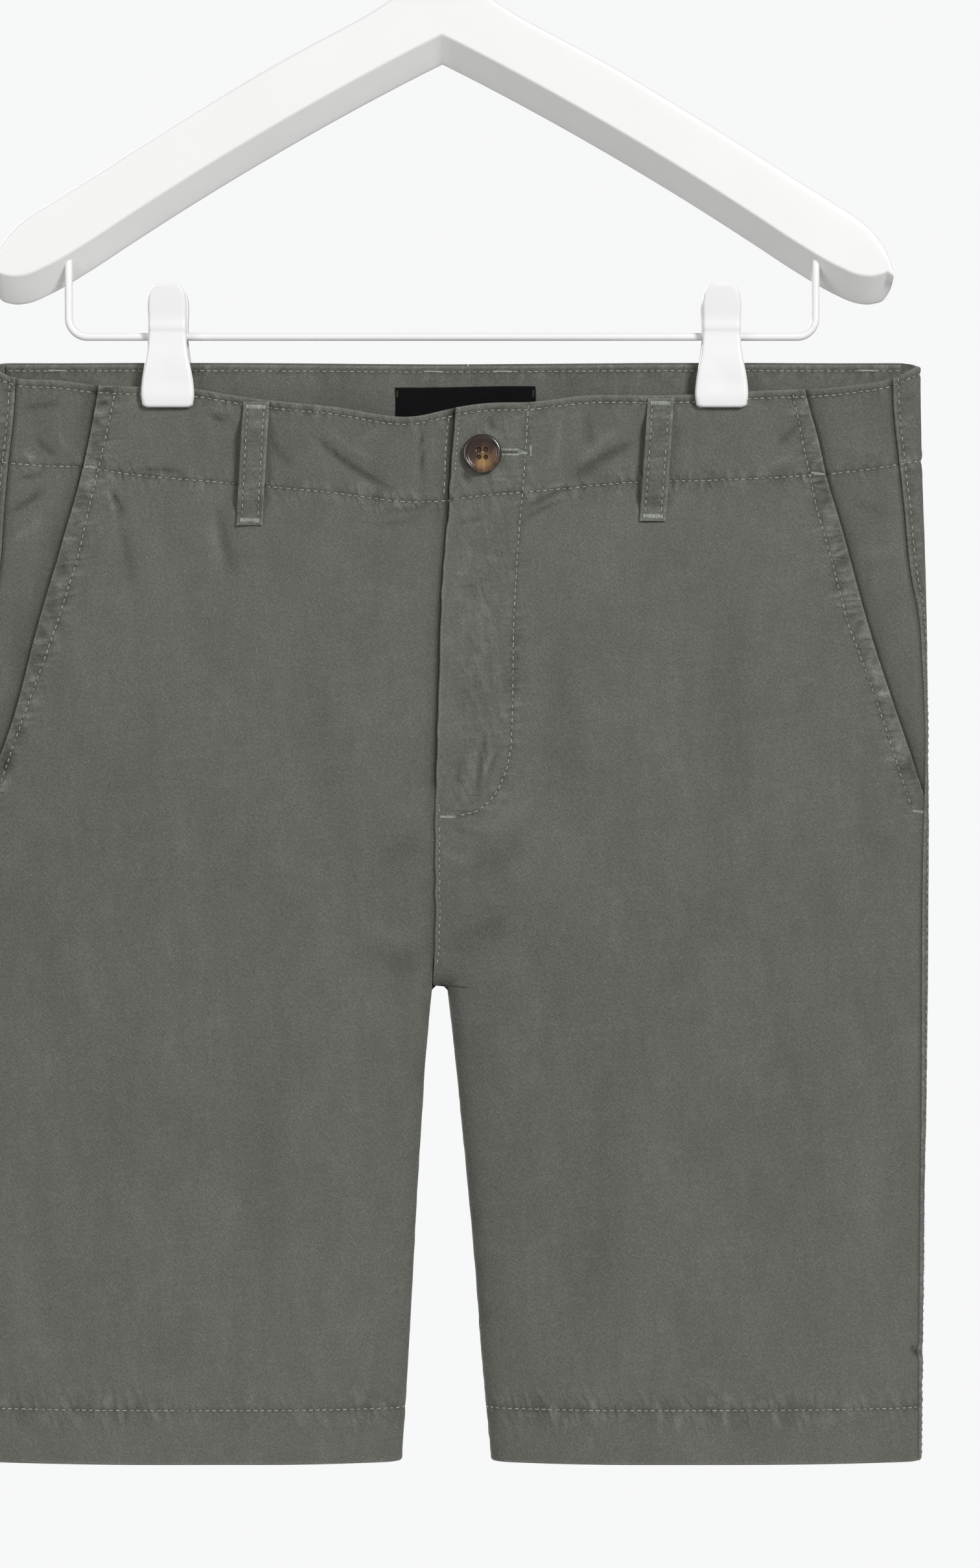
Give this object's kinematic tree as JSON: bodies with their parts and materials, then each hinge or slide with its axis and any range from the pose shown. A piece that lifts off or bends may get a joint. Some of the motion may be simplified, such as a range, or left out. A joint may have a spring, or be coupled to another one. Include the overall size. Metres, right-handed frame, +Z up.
{
  "type": "chino shorts on a clip hanger",
  "caption": "Flat-hanging cotton twill chino shorts, buttoned at the waist with a lapped fly and slant pockets, gripped by the jaws of a clip hanger.",
  "frame": {"origin": "inner top of the hanger's hook, where a rail carries it", "axes": "+Z up, the front of the shorts faces -Y, +X to the right as seen from the front"},
  "size_m": [0.4608, 0.0467, 0.8107],
  "materials": {
    "twill": "washed grey-green cotton twill, matt",
    "facing_twill": "the same twill, inside of the waist",
    "loop_twill": "the same twill, folded and stitched",
    "label_weave": "black woven tape, plain",
    "button_horn": "mottled brown horn look, polished",
    "hanger_white": "satin white moulding",
    "wire_white": "white coated wire",
    "clip_white": "satin white moulding"
  },
  "bodies": {
    "root": {"front_left": "twill", "front_right": "twill", "back_left": "twill", "back_right": "twill", "side_piece_left": "twill", "side_piece_right": "twill", "back_facing": "facing_twill", "belt_loop_front_left": "loop_twill", "belt_loop_front_right": "loop_twill", "belt_loop_side_left": "loop_twill", "belt_loop_side_right": "loop_twill", "belt_loop_back_left": "loop_twill", "belt_loop_back_right": "loop_twill", "label": "label_weave", "button": "button_horn", "hanger_arms": "hanger_white", "hanger_hook": "wire_white", "clip_bar": "wire_white", "clip_front_left": "clip_white", "clip_back_left": "clip_white", "clip_front_right": "clip_white", "clip_back_right": "clip_white"}
  },
  "joints": []
}
